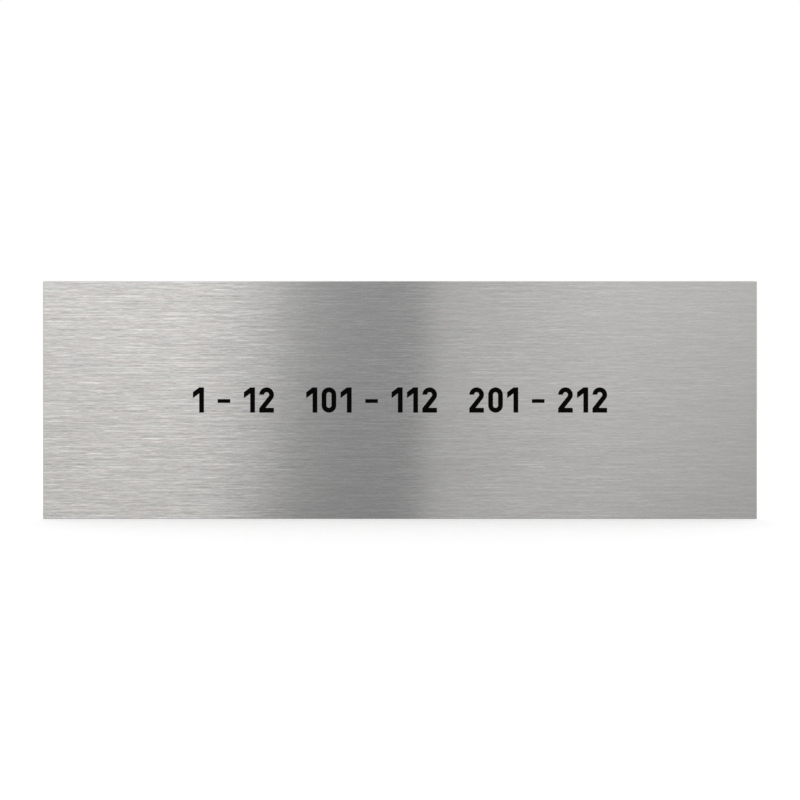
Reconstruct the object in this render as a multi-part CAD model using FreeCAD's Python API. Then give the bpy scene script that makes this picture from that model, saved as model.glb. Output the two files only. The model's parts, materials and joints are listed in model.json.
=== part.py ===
import FreeCAD, Part
import math
import os

# A flat stainless steel sign plate for a wall, a door or a letter box.
# It stands upright: +X runs along its width, +Z is up, and its face looks along -Y.
# The origin is the centre of its back face, the face that is bonded to the wall.

# Driving dimensions, in millimetres
PLATE_WIDTH = 150.0
PLATE_HEIGHT = PLATE_WIDTH / 3.0
SHEET_THICKNESS = 1.5
# The corners are cut square and only made safe to touch.
CORNER_RADIUS = 0.3
# The shown edge is rounded by the deburring brush, and the hidden edge is broken with a file.
FACE_EDGE_RADIUS = 0.2
BACK_EDGE_CHAMFER = 0.15

# Places that follow from the driving dimensions
BACK_PLANE_Y = 0.0
FACE_PLANE_Y = BACK_PLANE_Y - SHEET_THICKNESS

# How near an edge has to lie to a plane to count as lying in it
PLANE_TOLERANCE = 1e-6


def point(x, z):
    """A point of the outline, in the plane of the back face."""
    return FreeCAD.Vector(x, BACK_PLANE_Y, z)


def corner_arc(side, end):
    """The rounded corner at the given side (-1 left, 1 right) and end (-1 bottom, 1 top)."""
    centre_x = side * (PLATE_WIDTH / 2 - CORNER_RADIUS)
    centre_z = end * (PLATE_HEIGHT / 2 - CORNER_RADIUS)
    diagonal = CORNER_RADIUS * math.sqrt(0.5)
    beside = point(centre_x + side * CORNER_RADIUS, centre_z)
    middle = point(centre_x + side * diagonal, centre_z + end * diagonal)
    above = point(centre_x, centre_z + end * CORNER_RADIUS)
    return Part.Arc(beside, middle, above)


def plate_outline():
    """The closed rim of the plate: four straight cuts joined by four small arcs."""
    arcs = {(side, end): corner_arc(side, end) for side in (-1, 1) for end in (-1, 1)}
    cuts = [
        Part.LineSegment(arcs[side, -1].StartPoint, arcs[side, 1].StartPoint)
        for side in (-1, 1)
    ]
    cuts += [
        Part.LineSegment(arcs[-1, end].EndPoint, arcs[1, end].EndPoint)
        for end in (-1, 1)
    ]
    edges = [curve.toShape() for curve in (*arcs.values(), *cuts)]
    return Part.Wire(Part.__sortEdges__(edges))


def edges_in_plane(solid, plane_y):
    """The edges of a solid that lie wholly in the plane at that depth."""
    return [
        edge
        for edge in solid.Edges
        if abs(edge.BoundBox.YMin - plane_y) < PLANE_TOLERANCE
        and abs(edge.BoundBox.YMax - plane_y) < PLANE_TOLERANCE
    ]


def sign_plate():
    """The blank cut from sheet, with its face edge rounded and its back edge chamfered all round."""
    sheet_normal = FreeCAD.Vector(0, FACE_PLANE_Y - BACK_PLANE_Y, 0)
    blank = Part.Face(plate_outline()).extrude(sheet_normal)
    rounded = blank.makeFillet(FACE_EDGE_RADIUS, edges_in_plane(blank, FACE_PLANE_Y))
    return rounded.makeChamfer(BACK_EDGE_CHAMFER, edges_in_plane(rounded, BACK_PLANE_Y))


def main():
    os.makedirs("parts", exist_ok=True)
    plate = sign_plate()
    plate.exportStep("parts/sign_plate.step")
    box = plate.BoundBox
    print(f"sign_plate {box.XLength:.2f} x {box.YLength:.2f} x {box.ZLength:.2f} mm")
    print(f"volume {plate.Volume:.1f} mm3, valid {plate.isValid()}, solids {len(plate.Solids)}")


main()
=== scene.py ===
# %% [markdown]
# # A brushed stainless steel sign plate
# The real object is a small wall or door sign: a rectangle of stainless sheet, three times as wide as it
# is high, brushed along its width and printed in black. It is one flat piece with no holes, so all of its
# character is in the finish: thin drawn-out brush lines, a soft band of shade where the metal mirrors the
# room, a crisp cut edge and a duller back. The lesson takes the plate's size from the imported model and
# spends its effort on those finishes.

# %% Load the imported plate
import json
import math

import bpy
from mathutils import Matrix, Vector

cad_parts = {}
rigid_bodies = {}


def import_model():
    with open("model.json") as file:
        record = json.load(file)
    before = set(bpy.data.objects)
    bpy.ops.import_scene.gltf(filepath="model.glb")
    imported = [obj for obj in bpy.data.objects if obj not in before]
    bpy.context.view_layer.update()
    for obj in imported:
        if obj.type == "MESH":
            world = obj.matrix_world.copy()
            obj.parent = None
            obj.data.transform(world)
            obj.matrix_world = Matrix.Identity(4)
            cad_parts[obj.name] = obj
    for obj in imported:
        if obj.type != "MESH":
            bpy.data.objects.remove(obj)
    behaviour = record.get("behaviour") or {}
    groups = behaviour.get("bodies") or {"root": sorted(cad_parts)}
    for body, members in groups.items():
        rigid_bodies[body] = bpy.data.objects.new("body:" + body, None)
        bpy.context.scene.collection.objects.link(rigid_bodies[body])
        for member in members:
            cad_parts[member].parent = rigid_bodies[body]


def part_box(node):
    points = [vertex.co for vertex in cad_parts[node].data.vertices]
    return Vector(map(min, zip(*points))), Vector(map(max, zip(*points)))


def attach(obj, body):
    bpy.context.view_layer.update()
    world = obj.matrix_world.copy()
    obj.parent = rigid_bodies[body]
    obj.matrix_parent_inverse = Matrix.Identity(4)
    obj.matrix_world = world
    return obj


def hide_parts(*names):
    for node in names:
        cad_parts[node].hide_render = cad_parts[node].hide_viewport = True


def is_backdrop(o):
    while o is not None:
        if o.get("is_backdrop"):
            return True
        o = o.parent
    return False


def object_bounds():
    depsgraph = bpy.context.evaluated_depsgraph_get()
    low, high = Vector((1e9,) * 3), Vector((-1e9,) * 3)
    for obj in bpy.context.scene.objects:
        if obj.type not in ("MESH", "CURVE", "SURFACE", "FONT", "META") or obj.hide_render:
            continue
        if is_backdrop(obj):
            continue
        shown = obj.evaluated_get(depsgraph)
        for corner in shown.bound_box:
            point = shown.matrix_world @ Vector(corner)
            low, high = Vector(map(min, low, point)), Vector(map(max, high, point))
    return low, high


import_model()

MM = 0.001
CAD_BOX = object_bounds()
LOW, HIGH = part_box("sign_plate")
PLATE_WIDTH = HIGH.x - LOW.x
PLATE_HEIGHT = HIGH.z - LOW.z
SHEET_THICKNESS = HIGH.y - LOW.y
FACE_Y = LOW.y
print(f"plate {PLATE_WIDTH / MM:.1f} x {PLATE_HEIGHT / MM:.1f} x {SHEET_THICKNESS / MM:.1f} mm")

# %% [markdown]
# ## Camera
# The photograph looks at the sign square on. Seen like that, a flat plate has the same outline from any
# distance, so the outline can't tell how far away the camera stood. A short portrait lens at reading
# distance is a plain choice, and it lets the plate mirror a spread of directions wide enough to show a
# band of shade. The distance then follows from how much of the frame the plate fills.

# %% Camera
LENS_MM = 60.0
SENSOR_MM = 36.0
PHOTO_WIDTH_PX = 800
PLATE_LEFT_PX = 42.8
PLATE_RIGHT_PX = 757.2
CLIP_START = 10 * MM

plate_share = (PLATE_RIGHT_PX - PLATE_LEFT_PX) / PHOTO_WIDTH_PX
camera_distance = PLATE_WIDTH / plate_share * LENS_MM / SENSOR_MM
lens = bpy.data.cameras.new("photo_camera")
lens.lens = LENS_MM
lens.sensor_width = SENSOR_MM
lens.clip_start = CLIP_START
camera = bpy.data.objects.new("photo_camera", lens)
camera.location = (0, FACE_Y - camera_distance, (LOW.z + HIGH.z) / 2)
camera.rotation_euler = (math.radians(90), 0, 0)
bpy.context.scene.collection.objects.link(camera)
bpy.context.scene.camera = camera
bpy.context.scene.view_settings.view_transform = "Standard"
print(f"camera {camera_distance / MM:.0f} mm in front of the face")

# %% [markdown]
# ## Node helpers
# Everything below is built from node trees, in Geometry Nodes for shapes and in shaders for finishes. A
# few small helpers keep those trees short to read: they fill a socket with a link or a value, add a node
# with its inputs filled, do one step of arithmetic, map one range to another, and grade a value between
# stops.

# %% Node helpers
def fill_socket(tree, socket, value):
    """Links the value to the socket if it is another node's output, and otherwise sets it."""
    if isinstance(value, bpy.types.NodeSocket):
        tree.links.new(value, socket)
    else:
        socket.default_value = value


def add_node(tree, kind, options=None, inputs=None):
    """Adds a node with its options set and its inputs filled. Inputs go by name or by number."""
    made = tree.nodes.new(kind)
    for name, value in (options or {}).items():
        setattr(made, name, value)
    for name, value in (inputs or {}).items():
        fill_socket(tree, made.inputs[name], value)
    return made


def calculate(tree, operation, *values):
    """One step of arithmetic on numbers or outputs, and returns its output."""
    return add_node(tree, "ShaderNodeMath", {"operation": operation}, dict(enumerate(values))).outputs[0]


def rescale(tree, value, from_range, to_range):
    """Maps a value from one range to another, held at both ends."""
    return add_node(tree, "ShaderNodeMapRange", inputs={
        "Value": value, "From Min": from_range[0], "From Max": from_range[1],
        "To Min": to_range[0], "To Max": to_range[1]}).outputs["Result"]


def graded(tree, value, stops):
    """A colour that runs straight from stop to stop. A stop is a place from 0 to 1 and its colour."""
    ramp = add_node(tree, "ShaderNodeValToRGB", inputs={"Fac": value})
    elements = ramp.color_ramp.elements
    elements[0].position = stops[0][0]
    elements[-1].position = stops[-1][0]
    for place, _ in stops[1:-1]:
        elements.new(place)
    for element, (_, colour) in zip(elements, stops):
        element.color = (*colour, 1)
    return ramp.outputs["Color"]


def graded_level(tree, value, stops):
    """The same for a plain number instead of a colour."""
    return graded(tree, value, [(place, (level,) * 3) for place, level in stops])


NODE_HELPERS = (fill_socket, add_node, calculate, rescale, graded, graded_level)
print("helpers:", [helper.__name__ for helper in NODE_HELPERS])

# %% [markdown]
# ## A blank finish for each surface
# A sheet metal sign shows four surfaces: the brushed face, the cut edge, the back that nobody sees once
# the sign is on the wall, and the print. Each gets a material of its own, made here empty so that the
# shapes can already wear them, and filled in further down.

# %% Empty finishes
def new_finish(name):
    """A material with its node tree and its shader."""
    finish = bpy.data.materials.new(name)
    finish.use_nodes = True
    return finish, finish.node_tree, finish.node_tree.nodes["Principled BSDF"]


brushed_face, face_nodes, face_shader = new_finish("brushed_face")
cut_edge, edge_nodes, edge_shader = new_finish("cut_edge")
mill_back, back_nodes, back_shader = new_finish("mill_back")
black_print, print_nodes, print_shader = new_finish("black_print")
print("finishes:", [finish.name for finish in (brushed_face, cut_edge, mill_back, black_print)])

# %% [markdown]
# ## The plate
# A shop makes this part by cutting a rectangle from sheet and taking the sharpness off its edges: the
# shown edge is rounded by a brush, the hidden one is broken with a file. The node tree follows the same
# order. It draws the rectangle, rounds its corners a little, fills it, pushes it out to the sheet's
# thickness and stands it up. Two Bevel modifiers then treat the two rims, which the tree marks with
# weights. A plain cube would have been quicker, but its knife edges would catch no light.

# %% Helpers for Geometry Nodes
WELD_DISTANCE = 0.001 * MM


def new_tree(name, inputs):
    """An empty Geometry Nodes tree with named inputs, returned with its input and output sockets."""
    tree = bpy.data.node_groups.new(name, "GeometryNodeTree")
    for label, kind in inputs.items():
        tree.interface.new_socket(label, in_out="INPUT", socket_type=kind)
    tree.interface.new_socket("Geometry", in_out="OUTPUT", socket_type="NodeSocketGeometry")
    return tree, tree.nodes.new("NodeGroupInput").outputs, tree.nodes.new("NodeGroupOutput").inputs


def push_out(tree, outlines, thickness):
    """Fills flat outlines and pushes them out. Returns the front with its walls, the back and the walls."""
    sheet = add_node(tree, "GeometryNodeFillCurve", {"mode": "NGONS"}, {"Curve": outlines}).outputs[0]
    pushed = add_node(tree, "GeometryNodeExtrudeMesh", {"mode": "FACES"}, {
        "Mesh": sheet, "Offset Scale": thickness, "Individual": False})
    behind = add_node(tree, "GeometryNodeFlipFaces", inputs={"Mesh": sheet})
    return pushed.outputs["Mesh"], behind.outputs["Mesh"], pushed.outputs["Side"]


def stand_up(tree, front, behind, depth):
    """Joins a front and a back, stands them up at that depth, and makes them one real, closed mesh."""
    joined = add_node(tree, "GeometryNodeJoinGeometry")
    for part in (front, behind):
        tree.links.new(part, joined.inputs[0])
    place = add_node(tree, "ShaderNodeCombineXYZ", inputs={"Y": depth}).outputs[0]
    upright = add_node(tree, "GeometryNodeTransform", inputs={
        "Geometry": joined.outputs[0], "Translation": place, "Rotation": (math.radians(90), 0, 0)})
    real = add_node(tree, "GeometryNodeRealizeInstances", inputs={"Geometry": upright.outputs[0]})
    return add_node(tree, "GeometryNodeMergeByDistance", inputs={
        "Geometry": real.outputs[0], "Distance": WELD_DISTANCE}).outputs[0]


def dress(tree, geometry, finish, selection=True):
    """Gives the selected faces a finish."""
    return add_node(tree, "GeometryNodeSetMaterial", inputs={
        "Geometry": geometry, "Selection": selection, "Material": finish}).outputs[0]


print("helpers:", [helper.__name__ for helper in (new_tree, push_out, stand_up, dress)])

# %% The plate's node tree
plate_tree, given, result = new_tree("Sheet metal blank", {
    "Width": "NodeSocketFloat", "Height": "NodeSocketFloat", "Thickness": "NodeSocketFloat",
    "Back Depth": "NodeSocketFloat", "Corner Radius": "NodeSocketFloat", "Corner Points": "NodeSocketInt",
    "Face": "NodeSocketMaterial", "Edge": "NodeSocketMaterial", "Back": "NodeSocketMaterial",
})
outline = add_node(plate_tree, "GeometryNodeCurvePrimitiveQuadrilateral", {"mode": "RECTANGLE"}, {
    "Width": given["Width"], "Height": given["Height"]})
rounded = add_node(plate_tree, "GeometryNodeFilletCurve", {"mode": "POLY"}, {
    "Curve": outline.outputs[0], "Count": given["Corner Points"], "Radius": given["Corner Radius"]})
front, behind, walls = push_out(plate_tree, rounded.outputs[0], given["Thickness"])
blank_sheet = stand_up(plate_tree, front, behind, given["Back Depth"])
print(f"{plate_tree.name}: {len(plate_tree.nodes)} nodes for the form")

# %% Mark the two rims and dress the surfaces
RIM_ANGLE = math.radians(60)
# Which side of half way through the sheet each rim lies on
RIMS = {"face_rim": "LESS_THAN", "back_rim": "GREATER_THAN"}

angle = add_node(plate_tree, "GeometryNodeInputMeshEdgeAngle").outputs["Unsigned Angle"]
sharp = calculate(plate_tree, "GREATER_THAN", angle, RIM_ANGLE)
place = add_node(plate_tree, "GeometryNodeInputPosition").outputs[0]
depth = add_node(plate_tree, "ShaderNodeSeparateXYZ", inputs={0: place}).outputs["Y"]
half_way = calculate(plate_tree, "MULTIPLY_ADD", given["Thickness"], -0.5, given["Back Depth"])
for rim, side in RIMS.items():
    weight = calculate(plate_tree, "MULTIPLY", sharp, calculate(plate_tree, side, depth, half_way))
    blank_sheet = add_node(plate_tree, "GeometryNodeStoreNamedAttribute", {"domain": "EDGE"}, {
        "Geometry": blank_sheet, "Name": rim, "Value": weight}).outputs[0]
at_back = calculate(plate_tree, "GREATER_THAN", depth, half_way)
for finish, chosen in ((given["Face"], True), (given["Back"], at_back), (given["Edge"], walls)):
    blank_sheet = dress(plate_tree, blank_sheet, finish, chosen)
plate_tree.links.new(blank_sheet, result[0])
print(f"{plate_tree.name}: {len(plate_tree.nodes)} nodes with its rims and finishes")

# %% [markdown]
# A tree is only a recipe until an object wears it. A scratch object takes each tree with its sizes filled
# in, the result is copied to a plain mesh, and the scratch object is thrown away. What is left is an
# ordinary piece at the origin that any other program can read.

# %% From a tree to a piece
def worker_with(tree, values, mesh=None):
    """A scratch object that wears the tree, with each input set by its identifier."""
    worker = bpy.data.objects.new(tree.name, mesh or bpy.data.meshes.new(tree.name))
    bpy.context.scene.collection.objects.link(worker)
    modifier = worker.modifiers.new(tree.name, "NODES")
    modifier.node_group = tree
    for socket in tree.interface.items_tree:
        if socket.in_out == "INPUT" and socket.name in values:
            modifier[socket.identifier] = values[socket.name]
    return worker


def plain_piece(worker, name):
    """What the scratch object's modifiers make, as an object with a plain mesh. The scratch object goes."""
    evaluated = worker.evaluated_get(bpy.context.evaluated_depsgraph_get())
    mesh = bpy.data.meshes.new_from_object(evaluated)
    mesh.name = name
    # Joining the front and the back put an empty slot before the finishes.
    mesh.materials.pop(index=0)
    bpy.data.objects.remove(worker)
    piece = bpy.data.objects.new(name, mesh)
    bpy.context.scene.collection.objects.link(piece)
    return piece


print("helpers:", [helper.__name__ for helper in (worker_with, plain_piece)])

# %% Make the plate
CORNER_RADIUS = 0.3 * MM
CORNER_POINTS = 7
FACE_EDGE_RADIUS = 0.2 * MM
FACE_EDGE_STEPS = 4
BACK_EDGE_CHAMFER = 0.15 * MM


def treat_rim(worker, rim, width, steps):
    """Rounds the edges that the tree marked, or chamfers them if there is one step."""
    bevel = worker.modifiers.new(rim, "BEVEL")
    bevel.limit_method = "WEIGHT"
    bevel.edge_weight = rim
    bevel.width = width
    bevel.segments = steps
    bevel.use_clamp_overlap = False


blank = worker_with(plate_tree, {
    "Width": PLATE_WIDTH, "Height": PLATE_HEIGHT, "Thickness": SHEET_THICKNESS,
    "Back Depth": HIGH.y, "Corner Radius": CORNER_RADIUS, "Corner Points": CORNER_POINTS,
    "Face": brushed_face, "Edge": cut_edge, "Back": mill_back,
})
treat_rim(blank, "face_rim", FACE_EDGE_RADIUS, FACE_EDGE_STEPS)
treat_rim(blank, "back_rim", BACK_EDGE_CHAMFER, 1)
plate = plain_piece(blank, "brushed_plate")
print(f"{plate.name}: {len(plate.data.polygons)} faces, slots {[m.name for m in plate.data.materials]}")

# %% [markdown]
# ## A map for the grain
# Brushed metal needs to know which way it was brushed, and the shader reads that from a UV map: the
# tangent of the map's U axis. Here U runs up the plate, across the brush lines, because a brushed surface
# spreads light across its lines. Blender's own unwrapping turns the surfaces as it likes, so the script
# places each corner itself. The map also says how much room each surface gets when the finish is baked to
# an image. The face gets most of it, stretched across the lines, where the detail is finest. The rims are
# unrolled into four thin strips beside it.

# %% Places on the map
# A patch is its lowest U and V and its size along U and V.
FACE_PATCH = (0.01, 0.01, 0.70, 0.98)
BACK_PATCH = (0.73, 0.01, 0.19, 0.98)
STRIP_START, STRIP_PITCH, STRIP_WIDTH = 0.935, 0.016, 0.012
UNROLLED = FACE_EDGE_RADIUS + SHEET_THICKNESS + BACK_EDGE_CHAMFER


def in_patch(patch, across, along):
    """A place on the map, from how far across and along the patch it lies."""
    return patch[0] + patch[2] * across, patch[1] + patch[3] * along


def sheet_place(corner):
    """How far up and how far along the plate a corner lies, from 0 to 1."""
    return (corner.z - LOW.z) / PLATE_HEIGHT, (corner.x - LOW.x) / PLATE_WIDTH


def rim_place(corner, normal):
    """Where a corner of a rim face lies on its strip, with the rim unrolled from the face to the back."""
    up, along = sheet_place(corner)
    insets = (HIGH.z - corner.z, corner.z - LOW.z, HIGH.x - corner.x, corner.x - LOW.x)
    facing = (normal.z, -normal.z, normal.x, -normal.x)
    strip = facing.index(max(facing))
    inset = insets[strip] if corner.y - FACE_Y > SHEET_THICKNESS / 2 else -insets[strip]
    unrolled = (FACE_EDGE_RADIUS + corner.y - FACE_Y + inset) / UNROLLED
    patch = (STRIP_START + STRIP_PITCH * strip, FACE_PATCH[1], STRIP_WIDTH, FACE_PATCH[3])
    # The first two strips run along the plate and the other two up it.
    return in_patch(patch, unrolled, along if strip < 2 else up)


print(f"the face fills {FACE_PATCH[2] * FACE_PATCH[3]:.0%} of the map, a rim {STRIP_WIDTH:.1%} of its width")

# %% Lay the surfaces flat
FLAT = 0.999
MAP_NAME = "OFBake"


def lay_flat(mesh, edge_slot):
    """Gives every face its place on the map, and the rims their finish and smooth shading."""
    places = mesh.uv_layers.new(name=MAP_NAME).data
    for polygon in mesh.polygons:
        is_rim = abs(polygon.normal.y) < FLAT
        polygon.use_smooth = is_rim
        if is_rim:
            polygon.material_index = edge_slot
        patch = FACE_PATCH if polygon.normal.y < 0 else BACK_PATCH
        for index in polygon.loop_indices:
            corner = mesh.vertices[mesh.loops[index].vertex_index].co
            if is_rim:
                places[index].uv = rim_place(corner, polygon.normal)
            else:
                places[index].uv = in_patch(patch, *sheet_place(corner))


lay_flat(plate.data, plate.data.materials.find(cut_edge.name))
for rim in RIMS:
    plate.data.attributes.remove(plate.data.attributes[rim])
rim_faces = sum(polygon.use_smooth for polygon in plate.data.polygons)
print(f"{MAP_NAME}: {rim_faces} faces on the strips, {len(plate.data.polygons) - rim_faces} on the patches")

# %% [markdown]
# ## The brush lines
# Brushing drags thousands of grits along the sheet. Each leaves a groove about half a millimetre wide and
# a few millimetres long that fades out at its ends, and like any groove it has a lit side and a shaded
# side. One stretched noise texture is the usual way, but its cells stand in columns, and the eye finds
# them. Here the sheet is divided into thin rows, each row is a strip of noise that starts at a place of
# its own, and three sets of rows are mixed: short, medium and long lines. The rows crowd and bend a
# little, because no belt runs perfectly true.

# %% Noise for a flat sheet
LAYER_SHIFT = 17.3


def plate_place(tree):
    """The place on the plate's face: a flat vector, along the plate and then up it, and all three axes."""
    spot = add_node(tree, "ShaderNodeTexCoord").outputs["Object"]
    axes = add_node(tree, "ShaderNodeSeparateXYZ", inputs={0: spot}).outputs
    flat = add_node(tree, "ShaderNodeCombineXYZ", inputs={"X": axes["X"], "Y": axes["Z"]}).outputs[0]
    return flat, axes


def cells(tree, place, grain, layer):
    """Noise from 0 to 1. A grain is the length and width of its cells and its octaves of finer detail.
    Layers with other numbers look at other parts of the noise, so that they differ."""
    length, width, detail = grain
    shift = layer * LAYER_SHIFT
    scaled = add_node(tree, "ShaderNodeVectorMath", {"operation": "MULTIPLY_ADD"}, {
        0: place, 1: (1 / length, 1 / width, 0), 2: (shift, shift, 0)})
    return add_node(tree, "ShaderNodeTexNoise", {"noise_dimensions": "2D"}, {
        "Vector": scaled.outputs[0], "Scale": 1.0, "Detail": detail}).outputs["Fac"]


print(f"layers of noise lie {LAYER_SHIFT} cells apart")

# %% Rows of lines
ROW_STARTS = 97.0


def strokes(tree, along, up, grain, layer, heights, shade):
    """Rows of lines, each from a place of its own in the noise. Heights says which range of the noise
    becomes which range of heights, and shade how far one side of a row is lit and the other shaded."""
    length, width, detail = grain
    across = calculate(tree, "MULTIPLY_ADD", up, 1 / width, layer * LAYER_SHIFT)
    row = calculate(tree, "FLOOR", across)
    luck = add_node(tree, "ShaderNodeTexWhiteNoise", {"noise_dimensions": "1D"}, {"W": row})
    start = calculate(tree, "MULTIPLY", luck.outputs["Value"], ROW_STARTS)
    strip = add_node(tree, "ShaderNodeTexNoise", {"noise_dimensions": "1D"}, {
        "W": calculate(tree, "MULTIPLY_ADD", along, 1 / length, start), "Scale": 1.0, "Detail": detail})
    height = rescale(tree, strip.outputs["Fac"], *heights)
    ridge = calculate(tree, "PINGPONG", across, 0.5)
    sides = calculate(tree, "SINE", calculate(tree, "MULTIPLY", across, math.tau))
    return calculate(tree, "MULTIPLY", height, calculate(tree, "MULTIPLY_ADD", sides, shade, ridge))


print(f"a row starts anywhere in {ROW_STARTS:.0f} line lengths of noise")

# %% [markdown]
# The next function mixes the sets. It builds the same lines in any material that asks for them, so that
# the print, a thin film on the face, can show them faintly too.

# %% Brush lines
# How the rows bend and crowd: the grain of the swing, and how far it goes
SWINGS = {
    "bend": ((60 * MM, 12 * MM, 1.0), 0.08 * MM),
    "crowd": ((400 * MM, 0.9 * MM, 1.0), 0.30 * MM),
}
# The sets of lines: their grain, and their weight in the mix
LINE_SETS = {
    "short": ((1.8 * MM, 0.47 * MM, 1.0), 0.56),
    "medium": ((5.2 * MM, 0.59 * MM, 0.0), 0.50),
    "long": ((20.0 * MM, 0.535 * MM, 0.0), 0.66),
}
# The noise is cut off at both ends, so that no line stands out, and lines rise further than they sink.
LINE_HEIGHTS = ((0.37, 0.69), (-0.81, 1.19))
LINE_SHADE = 0.6
LAYERS_USED = len(SWINGS) + len(LINE_SETS)


def brush_lines(tree):
    """The height of the brushed surface, about -1 to 1, and the places along and up that it follows."""
    flat, axes = plate_place(tree)
    along, up = axes["X"], axes["Z"]
    for layer, (grain, reach) in enumerate(SWINGS.values()):
        up = calculate(tree, "MULTIPLY_ADD", cells(tree, flat, grain, layer), reach, up)
    lines = 0.0
    for layer, (grain, weight) in enumerate(LINE_SETS.values(), start=len(SWINGS)):
        rows = strokes(tree, along, up, grain, layer, LINE_HEIGHTS, LINE_SHADE)
        lines = calculate(tree, "MULTIPLY_ADD", rows, weight, lines)
    return lines, along, up


print("lines:", ", ".join(f"{name} {grain[0] / MM:.1f} mm" for name, (grain, _) in LINE_SETS.items()))

# %% [markdown]
# ## The brushed face
# Stainless steel is a slightly warm grey mirror that brushing has made rough across its lines and left
# fairly sharp along them, which the shader calls anisotropy. A bump alone could draw the lines, but from
# here a line is only two or three pixels wide and its slopes would be lost, so most of it is in the
# colour: how much light comes back. The deepest, freshest cuts are thin bright flecks, a few tiny pits
# stay dark, the bare metal between the lines sparkles finely, and broad clouds make the sheet a little
# uneven. All these marks are painted stronger at the left end and fade to the right, which is painted
# light: the left end mirrors bright light, which gives the lines more contrast, and the right end
# mirrors shade.

# %% Marks on the face
LINE_CONTRAST = 0.29
FLECKS = (8 * MM, 0.22 * MM, 0.0)
FLECK_HEIGHTS = ((0.74, 0.86), (0, 2))
FLECK_SHADE = 0.0
FLECK_CONTRAST = 0.32
PITS = (0.8 * MM, 0.26 * MM, 0.0)
PITS_SHOWN = (0.84, 0.92)
PIT_CONTRAST = -0.15
SPARKLE = (0.3 * MM, 0.17 * MM, 0.0)
SPARKLE_CONTRAST = 0.10
CLOUDS = (40 * MM, 7 * MM, 2.0)
CLOUD_CONTRAST = 0.03
# Painted light: how strongly the marks show, by the share of the plate's width from the left, strongest at
# # the brightly lit left end and weaker where the face mirrors shade
HARDNESS = ((0.27, 1.0), (0.39, 0.40), (0.62, 0.55), (0.78, 0.52), (1.0, 0.30))

lines, along, up = brush_lines(face_nodes)
flat = add_node(face_nodes, "ShaderNodeCombineXYZ", inputs={"X": along, "Y": up}).outputs[0]
flecks = strokes(face_nodes, along, up, FLECKS, LAYERS_USED, FLECK_HEIGHTS, FLECK_SHADE)
pits = rescale(face_nodes, cells(face_nodes, flat, PITS, LAYERS_USED + 1), PITS_SHOWN, (0, 1))
clouds = cells(face_nodes, flat, CLOUDS, LAYERS_USED + 2)
sparkle = rescale(face_nodes, cells(face_nodes, flat, SPARKLE, LAYERS_USED + 3), (0, 1), (-0.5, 0.5))
marks = calculate(face_nodes, "MULTIPLY", lines, LINE_CONTRAST)
marks = calculate(face_nodes, "MULTIPLY_ADD", flecks, FLECK_CONTRAST, marks)
marks = calculate(face_nodes, "MULTIPLY_ADD", pits, PIT_CONTRAST, marks)
marks = calculate(face_nodes, "MULTIPLY_ADD", sparkle, SPARKLE_CONTRAST, marks)
# Painted light: the marks are made stronger at the brightly lit left end and weaker where the face mirrors
# shade
hardness = graded_level(face_nodes, rescale(face_nodes, along, (LOW.x, HIGH.x), (0, 1)), HARDNESS)
tone = calculate(face_nodes, "MULTIPLY_ADD", marks, hardness, 1.0 - CLOUD_CONTRAST)
tone = calculate(face_nodes, "MULTIPLY_ADD", clouds, 2 * CLOUD_CONTRAST, tone)
print(f"marks on the face: {len(face_nodes.nodes)} nodes")

# %% [markdown]
# The steel itself isn't one colour. Its thin oxide film makes it a touch warmer in one place and cooler
# in another. How far that drifts follows the same painted light as the marks: most at the brightly lit
# left end. The lines also change how rough the surface is, and they leave a faint bump. The anisotropy
# is the same all over, so it is set on the shader itself.

# %% Brushed face
STEEL_COOL = (0.590, 0.5885, 0.5725)
STEEL_WARM = (0.611, 0.5885, 0.5635)
HUE_DRIFT = (6 * MM, 1.2 * MM, 2.0)
# The power of the painted light contrast that the drift fades with
DRIFT_FADE = 2.0
# Nearly all values of a noise lie in the first span, and of the mixed lines in the second.
NOISE_SPAN = (0.3, 0.7)
LINE_SPAN = (-0.6, 0.6)
FACE_ROUGHNESS = (0.24, 0.31)
FACE_ANISOTROPY = 0.8
FACE_BUMP_DEPTH = 0.0012 * MM


def lighten(tree, colour, tone):
    """A colour made lighter or darker by a tone of about 1."""
    scaled = add_node(tree, "ShaderNodeVectorMath", {"operation": "SCALE"}, {0: colour, "Scale": tone})
    return scaled.outputs[0]


def set_surface(tree, shader, colour, roughness, height, depth):
    """Wires a finish of bare metal or ink: its colour, its roughness, and a bump of that depth."""
    bump = add_node(tree, "ShaderNodeBump", inputs={"Distance": depth, "Height": height})
    for name, value in (("Base Color", colour), ("Roughness", roughness), ("Normal", bump.outputs[0])):
        tree.links.new(value, shader.inputs[name])


drift = rescale(face_nodes, cells(face_nodes, flat, HUE_DRIFT, LAYERS_USED + 4), NOISE_SPAN, (-0.5, 0.5))
# The oxide drift fades with the same painted light contrast, strongest at the brightly lit left end
drift = calculate(face_nodes, "MULTIPLY", drift, calculate(face_nodes, "POWER", hardness, DRIFT_FADE))
steel = graded(face_nodes, calculate(face_nodes, "ADD", drift, 0.5), ((0, STEEL_COOL), (1, STEEL_WARM)))
set_surface(face_nodes, face_shader, lighten(face_nodes, steel, tone),
            rescale(face_nodes, lines, LINE_SPAN, FACE_ROUGHNESS), lines, FACE_BUMP_DEPTH)
grain = add_node(face_nodes, "ShaderNodeTangent", {"direction_type": "UV_MAP", "uv_map": MAP_NAME})
face_nodes.links.new(grain.outputs[0], face_shader.inputs["Tangent"])
face_shader.inputs["Anisotropic"].default_value = FACE_ANISOTROPY
face_shader.inputs["Metallic"].default_value = 1.0
print(f"{brushed_face.name}: {len(face_nodes.nodes)} nodes")

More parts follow.
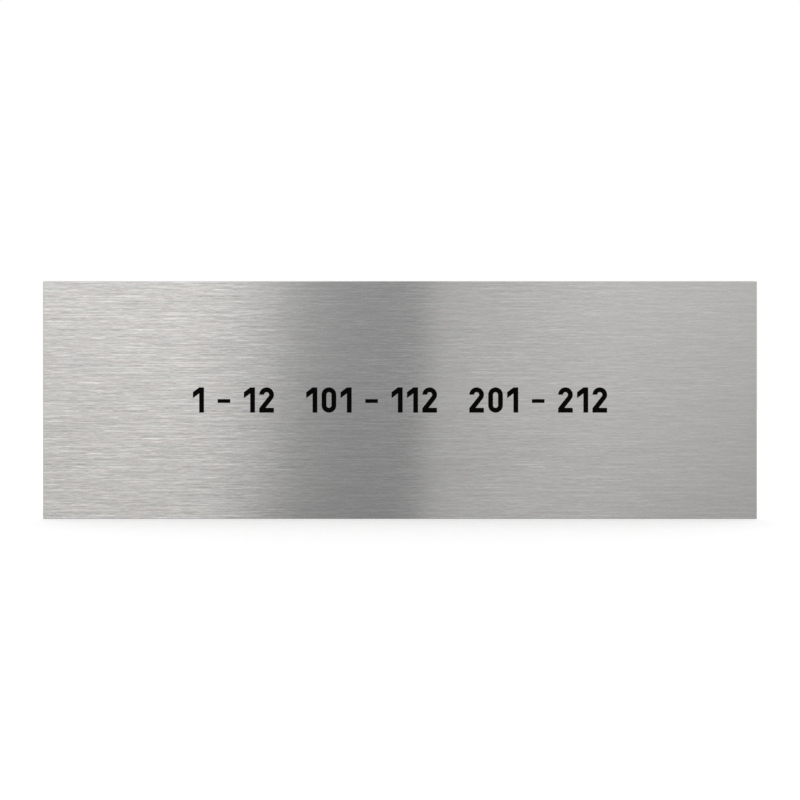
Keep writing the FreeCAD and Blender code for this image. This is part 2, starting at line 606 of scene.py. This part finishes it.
# %% [markdown]
# ## The cut edge
# A cut through sheet leaves fine ridges across the thickness. Near the face the cut is burnished, smooth
# and bright, and further back the metal was torn, so it is rougher and a little darker. A wave texture
# would make ridges, but all alike, so these are noise with cells that are thin along the edge and longer
# than the sheet is thick. Along the top and bottom the run of the edge is X and on the sides it is Z, so
# their sum serves on all four.

# %% Cut edge
BURNISHED_STEEL = (0.585, 0.575, 0.558)
TORN_STEEL = (0.49, 0.482, 0.468)
# Where the cut turns from burnished to torn, as a share of the thickness, and how far that wanders
TEAR_LINE = (0.30, 0.55)
TEARS = (3 * MM, 0.5 * MM, 3.0)
TEAR_WANDER = 0.2
RIDGES = (0.22 * MM, 3 * SHEET_THICKNESS, 3.0)
# How high the ridges stand where the cut is burnished and where it is torn
RIDGE_HEIGHT = (0.25, 1.0)
RIDGE_CONTRAST = 0.35
EDGE_ROUGHNESS = (0.27, 0.44)
EDGE_BUMP_DEPTH = 0.006 * MM

_, axes = plate_place(edge_nodes)
run = calculate(edge_nodes, "ADD", axes["X"], axes["Z"])
across = add_node(edge_nodes, "ShaderNodeCombineXYZ", inputs={"X": run, "Y": axes["Y"]}).outputs[0]
deep = rescale(edge_nodes, axes["Y"], (FACE_Y, HIGH.y), (0, 1))
wander = rescale(edge_nodes, cells(edge_nodes, across, TEARS, 0), (0, 1), (-TEAR_WANDER, TEAR_WANDER))
torn = rescale(edge_nodes, calculate(edge_nodes, "ADD", deep, wander), TEAR_LINE, (0, 1))
ridges = rescale(edge_nodes, cells(edge_nodes, across, RIDGES, 1), (0, 1), (-1, 1))
ridges = calculate(edge_nodes, "MULTIPLY", ridges, rescale(edge_nodes, torn, (0, 1), RIDGE_HEIGHT))
tone = calculate(edge_nodes, "MULTIPLY_ADD", ridges, RIDGE_CONTRAST, 1.0)
steel = graded(edge_nodes, torn, ((0, BURNISHED_STEEL), (1, TORN_STEEL)))
set_surface(edge_nodes, edge_shader, lighten(edge_nodes, steel, tone),
            rescale(edge_nodes, torn, (0, 1), EDGE_ROUGHNESS), ridges, EDGE_BUMP_DEPTH)
edge_shader.inputs["Metallic"].default_value = 1.0
print(f"{cut_edge.name}: {len(edge_nodes.nodes)} nodes")

# %% [markdown]
# ## The mill back
# The back keeps the finish that the sheet left the mill with: cold rolled, pickled and lightly rolled
# again. It is a dull, slightly cooler grey with a fine even speckle, faint long roll lines and broad
# patches where the pickling bit more or less, and handling has left a few hair-thin scratches across the
# roll lines. A plain grey metal would do for a side that faces the wall, but a loose plate gets turned
# over. The back has no brush lines, so it spreads light the same in every direction.

# %% Mill back
MILL_DARK = (0.510, 0.511, 0.507)
MILL_LIGHT = (0.560, 0.558, 0.550)
SPECKLE = (0.22 * MM, 0.18 * MM, 2.0)
SPECKLE_CONTRAST = 0.22
ROLL_LINES = (80 * MM, 0.45 * MM, 2.0)
ROLL_CONTRAST = 0.11
PATCHES = (26 * MM, 13 * MM, 4.0)
SCRATCHES = (16 * MM, 0.16 * MM, 1.0)
SCRATCHES_SHOWN = (0.76, 0.84)
SCRATCH_CONTRAST = 0.16
SCRATCH_TURNS = tuple(map(math.radians, (8, -21, 47)))
BACK_ROUGHNESS = (0.30, 0.40)
BACK_BUMP_DEPTH = 0.002 * MM

flat, _ = plate_place(back_nodes)
speckle = rescale(back_nodes, cells(back_nodes, flat, SPECKLE, 0), (0, 1), (-1, 1))
roll_lines = rescale(back_nodes, cells(back_nodes, flat, ROLL_LINES, 1), (0, 1), (-1, 1))
patches = cells(back_nodes, flat, PATCHES, 2)
tone = calculate(back_nodes, "MULTIPLY_ADD", speckle, SPECKLE_CONTRAST, 1.0)
tone = calculate(back_nodes, "MULTIPLY_ADD", roll_lines, ROLL_CONTRAST, tone)
for layer, turn in enumerate(SCRATCH_TURNS, start=3):
    turned = add_node(back_nodes, "ShaderNodeMapping", inputs={"Vector": flat, "Rotation": (0, 0, turn)})
    scratches = cells(back_nodes, turned.outputs[0], SCRATCHES, layer)
    scratches = rescale(back_nodes, scratches, SCRATCHES_SHOWN, (0, 1))
    tone = calculate(back_nodes, "MULTIPLY_ADD", scratches, SCRATCH_CONTRAST, tone)
steel = graded(back_nodes, patches, ((NOISE_SPAN[0], MILL_DARK), (NOISE_SPAN[1], MILL_LIGHT)))
set_surface(back_nodes, back_shader, lighten(back_nodes, steel, tone),
            rescale(back_nodes, patches, NOISE_SPAN, BACK_ROUGHNESS), speckle, BACK_BUMP_DEPTH)
back_shader.inputs["Metallic"].default_value = 1.0
print(f"{mill_back.name}: {len(back_nodes.nodes)} nodes")

# %% [markdown]
# ## A row of plain numbers
# A sign carries a line of black print across its middle. Here it is a row of room numbers, in numerals of
# one even stroke as on a technical drawing. A printer sets such a row from sorts, one for each numeral,
# and the script does the same: each sort is a closed outline, one unit high, drawn from arcs and straight
# runs. A font file would save the drawing, but then the script would depend on it.

# %% Draw the sorts
STROKE = 0.19
ROUND_WIDTH = 0.58
FLAG_REACH = 0.25
FLAG_DROP = 0.19
BOWL_TURN = -38.0
DASH_WIDTH = 0.50
DASH_STROKE = 0.15
DASH_MIDDLE = 0.46
ARC_STEP = 7.5


def arc(centre, radius, start, end):
    """Points along an arc, with its angles in degrees."""
    steps = round(abs(end - start) / ARC_STEP)
    angles = [math.radians(start + (end - start) * step / steps) for step in range(steps + 1)]
    return [(centre[0] + radius * math.cos(a), centre[1] + radius * math.sin(a)) for a in angles]


def zero_outlines():
    """A ring with straight sides: an outer and an inner outline."""
    reach = ROUND_WIDTH / 2
    radii = (reach, reach - STROKE)
    return [arc((reach, 1 - reach), r, 0, 180) + arc((reach, reach), r, 180, 360) for r in radii]


def one_outlines():
    """A stem with a flag of the same weight."""
    thick = STROKE * math.hypot(FLAG_REACH, FLAG_DROP) / FLAG_REACH
    stem = FLAG_REACH + STROKE
    flag = [(0, 1 - FLAG_DROP), (0, 1 - FLAG_DROP - thick), (FLAG_REACH, 1 - thick)]
    return [[(FLAG_REACH, 0), (stem, 0), (stem, 1), (FLAG_REACH, 1)] + flag]


def two_outlines():
    """A bowl that runs into a slanted stroke, on a foot."""
    reach = ROUND_WIDTH / 2
    centre = (reach, 1 - reach)
    over = arc(centre, reach, 180, BOWL_TURN)
    under = arc(centre, reach - STROKE, BOWL_TURN, 180)
    slope = math.tan(math.radians(BOWL_TURN + 90))
    meets_foot = over[-1][0] - (over[-1][1] - STROKE) / slope
    meets_side = under[0][1] - under[0][0] * slope
    foot = [(meets_foot, STROKE), (ROUND_WIDTH, STROKE), (ROUND_WIDTH, 0), (0, 0), (0, meets_side)]
    return [over + foot + under]


def dash_outlines():
    """A short level stroke."""
    low, high = DASH_MIDDLE - DASH_STROKE / 2, DASH_MIDDLE + DASH_STROKE / 2
    return [[(0, low), (DASH_WIDTH, low), (DASH_WIDTH, high), (0, high)]]


# A sort is its outlines and its width.
SORTS = {
    "0": (zero_outlines(), ROUND_WIDTH),
    "1": (one_outlines(), FLAG_REACH + STROKE),
    "2": (two_outlines(), ROUND_WIDTH),
    "-": (dash_outlines(), DASH_WIDTH),
}
print("points in each sort:", {name: sum(map(len, outlines)) for name, (outlines, _) in SORTS.items()})

# %% [markdown]
# The row is set by Geometry Nodes. The script works out where each numeral stands and which sort it
# takes, and hands that to the tree as points with a number on each. The tree puts the sorts on the
# points, fills the outlines and pushes them out to a film as thick as a coat of screen print, standing on
# the face.

# %% Set the row
ROW = "1 - 12   101 - 112   201 - 212"
NUMERAL_HEIGHT = 5.3 * MM
LETTER_GAP = 0.17
WORD_SPACE = 0.37


def cast_sort(name, outlines):
    """A closed curve for one numeral, one unit high."""
    curve = bpy.data.curves.new(name, "CURVE")
    for outline in outlines:
        spline = curve.splines.new("POLY")
        spline.points.add(len(outline) - 1)
        spline.use_cyclic_u = True
        for point, (x, y) in zip(spline.points, outline):
            point.co = (x, y, 0, 1)
    return bpy.data.objects.new(name, curve)


def set_row(text):
    """Where each numeral stands, in numeral heights, which sort it takes, and how wide the row is."""
    starts, picks, cursor = [], [], 0.0
    for character in text:
        if character == " ":
            cursor += WORD_SPACE
        else:
            starts.append(cursor)
            picks.append(list(SORTS).index(character))
            cursor += SORTS[character][1] + LETTER_GAP
    return starts, picks, cursor - LETTER_GAP


case = bpy.data.collections.new("numeral_sorts")
for number, (outlines, _) in enumerate(SORTS.values()):
    case.objects.link(cast_sort(f"sort_{number}", outlines))
starts, picks, row_width = set_row(ROW)
stands = [((start - row_width / 2) * NUMERAL_HEIGHT, -NUMERAL_HEIGHT / 2, 0) for start in starts]
row_points = bpy.data.meshes.new("row_points")
row_points.from_pydata(stands, [], [])
row_points.attributes.new("sort", "INT", "POINT").data.foreach_set("value", picks)
print(f"a row of {len(picks)} sorts, {row_width * NUMERAL_HEIGHT / MM:.1f} mm wide")

# %% The row's node tree
FILM_THICKNESS = 0.04 * MM

row_tree, given, result = new_tree("Row of numbers", {
    "Points": "NodeSocketGeometry", "Sorts": "NodeSocketCollection", "Numeral Height": "NodeSocketFloat",
    "Film Thickness": "NodeSocketFloat", "Face Depth": "NodeSocketFloat", "Ink": "NodeSocketMaterial",
})
sorts = add_node(row_tree, "GeometryNodeCollectionInfo", inputs={
    "Collection": given["Sorts"], "Separate Children": True, "Reset Children": True}).outputs[0]
pick = add_node(row_tree, "GeometryNodeInputNamedAttribute", {"data_type": "INT"}, {"Name": "sort"})
scale = add_node(row_tree, "ShaderNodeCombineXYZ", inputs={
    axis: given["Numeral Height"] for axis in "XYZ"}).outputs[0]
lined_up = add_node(row_tree, "GeometryNodeInstanceOnPoints", inputs={
    "Points": given["Points"], "Instance": sorts, "Pick Instance": True,
    "Instance Index": pick.outputs[0], "Scale": scale}).outputs[0]
thickness_share = calculate(row_tree, "DIVIDE", given["Film Thickness"], given["Numeral Height"])
front, behind, _ = push_out(row_tree, lined_up, thickness_share)
film = stand_up(row_tree, front, behind, given["Face Depth"])
row_tree.links.new(dress(row_tree, film, given["Ink"]), result[0])

numbers = plain_piece(worker_with(row_tree, {
    "Sorts": case, "Numeral Height": NUMERAL_HEIGHT, "Film Thickness": FILM_THICKNESS,
    "Face Depth": FACE_Y, "Ink": black_print}, row_points), "printed_numbers")
for sort in list(case.objects):
    bpy.data.objects.remove(sort)
bpy.data.collections.remove(case)
print(f"{numbers.name}: {len(numbers.data.polygons)} faces")

# %% [markdown]
# ## The print
# Screen ink on metal dries to a matte black that swallows nearly all light. A flat black would look like
# a hole in the plate. Real ink is slightly mottled where the mesh laid down more or less, and so thin
# that the brush lines show through it as faint relief. Its reflection is turned well down, because a
# matte ink shows no white room in it.

# %% Black print
INK_THIN = (0.0018, 0.0018, 0.0020)
INK_FULL = (0.0008, 0.0008, 0.0009)
MOTTLE = (0.5 * MM, 0.4 * MM, 3.0)
MOTTLE_RELIEF = 1.5
INK_ROUGHNESS = (0.44, 0.62)
INK_SPECULAR = 0.03
INK_BUMP_DEPTH = 0.0008 * MM

lines, _, _ = brush_lines(print_nodes)
flat, _ = plate_place(print_nodes)
mottle = cells(print_nodes, flat, MOTTLE, LAYERS_USED)
ink = graded(print_nodes, mottle, ((NOISE_SPAN[0], INK_THIN), (NOISE_SPAN[1], INK_FULL)))
relief = calculate(print_nodes, "MULTIPLY_ADD", mottle, MOTTLE_RELIEF, lines)
set_surface(print_nodes, print_shader, ink,
            rescale(print_nodes, mottle, NOISE_SPAN, INK_ROUGHNESS), relief, INK_BUMP_DEPTH)
print_shader.inputs["Specular IOR Level"].default_value = INK_SPECULAR
print(f"{black_print.name}: {len(print_nodes.nodes)} nodes")

# %% [markdown]
# ## The floor
# The photograph has a plain white ground. More light would whiten it, but would burn out the metal too,
# so the floor is pale and glows a little for the camera. It keeps the plate's shadow, and the plate
# doesn't mirror it. The glow grows with the distance, where the lamp is weaker, so that no edge of the
# floor shows.

# %% Floor
FLOOR_HALF = 3.0
FLOOR_COLOUR = (0.8, 0.8, 0.8, 1)
FLOOR_ROUGHNESS = 0.9
FLOOR_GLOW = (0.26, 0.43)
GLOW_REACH = (0.2, 1.5)
WHITE = (1, 1, 1, 1)
AROUND = ((-1, -1), (1, -1), (1, 1), (-1, 1))


def shown_directly(tree):
    """One for light that goes to the camera, to a mirror or through glass, and otherwise zero."""
    path = add_node(tree, "ShaderNodeLightPath").outputs
    mirrored = calculate(tree, "MAXIMUM", path["Is Camera Ray"], path["Is Glossy Ray"])
    return calculate(tree, "MAXIMUM", mirrored, path["Is Transmission Ray"])


def stage_sheet(name, corners, finish):
    """A flat sheet of the studio, from its four corners."""
    mesh = bpy.data.meshes.new(name)
    mesh.from_pydata(corners, [], [(0, 1, 2, 3)])
    mesh.materials.append(finish)
    sheet = bpy.data.objects.new(name, mesh)
    bpy.context.scene.collection.objects.link(sheet)
    sheet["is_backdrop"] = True
    return sheet


pale_floor, floor_nodes, floor_shader = new_finish("pale_floor")
floor_shader.inputs["Base Color"].default_value = FLOOR_COLOUR
floor_shader.inputs["Roughness"].default_value = FLOOR_ROUGHNESS
floor_shader.inputs["Emission Color"].default_value = WHITE
spot = add_node(floor_nodes, "ShaderNodeTexCoord").outputs["Object"]
away = add_node(floor_nodes, "ShaderNodeVectorMath", {"operation": "LENGTH"}, {0: spot}).outputs["Value"]
glow = rescale(floor_nodes, away, GLOW_REACH, FLOOR_GLOW)
glow = calculate(floor_nodes, "MULTIPLY", glow, shown_directly(floor_nodes))
floor_nodes.links.new(glow, floor_shader.inputs["Emission Strength"])
floor = stage_sheet("floor", [(x * FLOOR_HALF, y * FLOOR_HALF, LOW.z) for x, y in AROUND], pale_floor)
floor.visible_glossy = False
print(f"floor {2 * FLOOR_HALF:.0f} m wide at {LOW.z / MM:.0f} mm")

# %% [markdown]
# ## Room and lamp
# The room is an even white, which the camera sees at full strength while it lights the object a little
# less. One soft lamp overhead gives the plate a shadow under it. A harder lamp would draw a sharp shadow
# and a glare on the metal.

# %% Room and lamp
ROOM_LIGHT = 0.75
LAMP_PLACE = (-0.1, -0.2, 1.2)
LAMP_SIZE = 1.5
LAMP_POWER = 5.0

room = bpy.data.worlds.new("white_room")
room.use_nodes = True
background = room.node_tree.nodes["Background"]
background.inputs["Color"].default_value = WHITE
level = rescale(room.node_tree, shown_directly(room.node_tree), (0, 1), (ROOM_LIGHT, 1))
room.node_tree.links.new(level, background.inputs["Strength"])
bpy.context.scene.world = room

softbox = bpy.data.lights.new("softbox", "AREA")
softbox.energy = LAMP_POWER
softbox.size = LAMP_SIZE
lamp = bpy.data.objects.new("softbox", softbox)
lamp.location = LAMP_PLACE
bpy.context.scene.collection.objects.link(lamp)
print(f"room light {ROOM_LIGHT}, lamp {LAMP_POWER} W, {LAMP_SIZE} m wide")

# %% [markdown]
# ## The cards that the plate mirrors
# A photographer of flat metal lights not the metal but what it mirrors. Here that is one large card in
# front of the plate: white on the left, fading to a dark middle, with a sharp step up to grey on the
# right. The brushing blurs it sideways a little and up and down a lot, which is why the band of shade
# comes out soft and upright. The band could be painted into the steel's colour, but then it would stay
# put when the plate turns. The card reaches past the plate on all sides, so that the face has something
# to mirror from other places too, and it hangs close, because each point of the face mirrors a wider
# patch of a card further off, which makes a grainy picture. A second, softer card serves the back.

# %% Finish of a card
# A card is never darker or lighter than this, next to half way up.
CARD_EXTREMES = (0.75, 1.25)
COOL_GREY = (0.975, 1.0, 1.035)


def card_colour(level, coolness):
    """A level of grey between neutral and cool."""
    return [level * (1 + (cool - 1) * coolness) for cool in COOL_GREY]


def graded_sheen(name, distance, stops, lean):
    """A finish that glows as the stops say, along and down a card at that distance from the plate."""
    # How large a stretch of the card the plate mirrors, next to its own size
    spread = 1 + distance / camera_distance
    sheen = bpy.data.materials.new(name)
    sheen.use_nodes = True
    tree = sheen.node_tree
    tree.nodes.clear()
    shares, levels, coolness, falls = zip(*stops)
    ends = [PLATE_WIDTH * spread * (share - 0.5) for share in (shares[0], shares[-1])]
    places = [(share - shares[0]) / (shares[-1] - shares[0]) for share in shares]
    _, axes = plate_place(tree)
    upright = calculate(tree, "MULTIPLY_ADD", axes["Z"], -math.tan(lean), axes["X"])
    ramp_place = rescale(tree, upright, ends, (0, 1))
    colour = graded(tree, ramp_place, list(zip(places, map(card_colour, levels, coolness))))
    fall = graded_level(tree, ramp_place, list(zip(places, falls)))
    height = calculate(tree, "DIVIDE", axes["Z"], PLATE_HEIGHT / 2 * spread)
    strength = add_node(tree, "ShaderNodeClamp", inputs={
        "Value": calculate(tree, "MULTIPLY_ADD", height, fall, 1.0),
        "Min": CARD_EXTREMES[0], "Max": CARD_EXTREMES[1]}).outputs[0]
    glow = add_node(tree, "ShaderNodeEmission", inputs={"Color": colour, "Strength": strength})
    add_node(tree, "ShaderNodeOutputMaterial", inputs={"Surface": glow.outputs[0]})
    return sheen


print("helpers:", [helper.__name__ for helper in (card_colour, graded_sheen)])

# %% [markdown]
# Each card is graded along its width and gets darker downwards. The front one leans a touch, as the band
# in the photograph does. Only mirrored light sees the cards: they light nothing and cast no shadow.

# %% Hang the cards
CARD_HALF_WIDTH = 270 * MM
CARD_HALF_HEIGHT = 600 * MM
FRONT_DISTANCE = 60 * MM
BACK_DISTANCE = 150 * MM
FRONT_LEAN = math.radians(2.3)
BACK_LEAN = 0.0
# A stop is a place, as the share of the plate's width that mirrors it when seen from straight in front,
# the level there, how cool it is, and how much lighter it is at the plate's top edge than half way up.
FRONT_STOPS = (
    (-0.42, 0.78, 0.2, 0.09), (-0.27, 0.53, 0.6, 0.09), (-0.12, 0.89, 0.1, 0.10), (-0.05, 0.95, 0.0, 0.10),
    (0.20, 0.955, 0.0, 0.10), (0.25, 0.88, 0.1, 0.10), (0.30, 0.73, 0.3, 0.12), (0.36, 0.49, 0.8, 0.14),
    (0.42, 0.42, 1.0, 0.11), (0.53, 0.41, 1.0, 0.07), (0.54, 0.635, 0.4, 0.07), (0.67, 0.72, 0.3, 0.06),
    (0.79, 0.76, 0.3, 0.10), (1.00, 0.67, 0.3, 0.14), (1.12, 0.63, 0.3, 0.10), (1.35, 0.88, 0.1, 0.09),
)
BACK_STOPS = (
    (-0.60, 0.98, 0.2, 0.06), (-0.25, 0.58, 0.4, 0.06), (0.05, 0.98, 0.2, 0.06), (0.45, 0.66, 0.4, 0.06),
    (0.85, 0.98, 0.2, 0.06), (1.15, 0.55, 0.4, 0.06), (1.50, 0.98, 0.2, 0.06),
)


def hang_card(name, surface_depth, offset, stops, lean):
    """A card that hangs off a surface of the plate by that offset, and that only mirrored light sees."""
    depth = surface_depth + offset
    corners = [(x * CARD_HALF_WIDTH, depth, z * CARD_HALF_HEIGHT) for x, z in AROUND]
    card = stage_sheet(name, corners, graded_sheen(name, abs(offset), stops, lean))
    for ray in ("camera", "diffuse", "transmission", "shadow"):
        setattr(card, f"visible_{ray}", False)
    print(f"{name} at {depth / MM:.0f} mm, {len(stops)} stops")


hang_card("front_card", FACE_Y, -FRONT_DISTANCE, FRONT_STOPS, FRONT_LEAN)
hang_card("back_card", HIGH.y, BACK_DISTANCE, BACK_STOPS, BACK_LEAN)

# %% [markdown]
# ## Hand over
# Both pieces ride on the plate's one body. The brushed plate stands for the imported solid, whose form and
# size it keeps, and the two boxes are written down so that they can be compared.

# %% Hand over
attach(plate, "root")
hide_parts("sign_plate")
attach(numbers, "root")
boxes = {"cad": [list(corner) for corner in CAD_BOX], "visual": [list(corner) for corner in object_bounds()]}
for name, corners in boxes.items():
    print(name, "box in millimetres", [[round(value / MM, 2) for value in corner] for corner in corners])
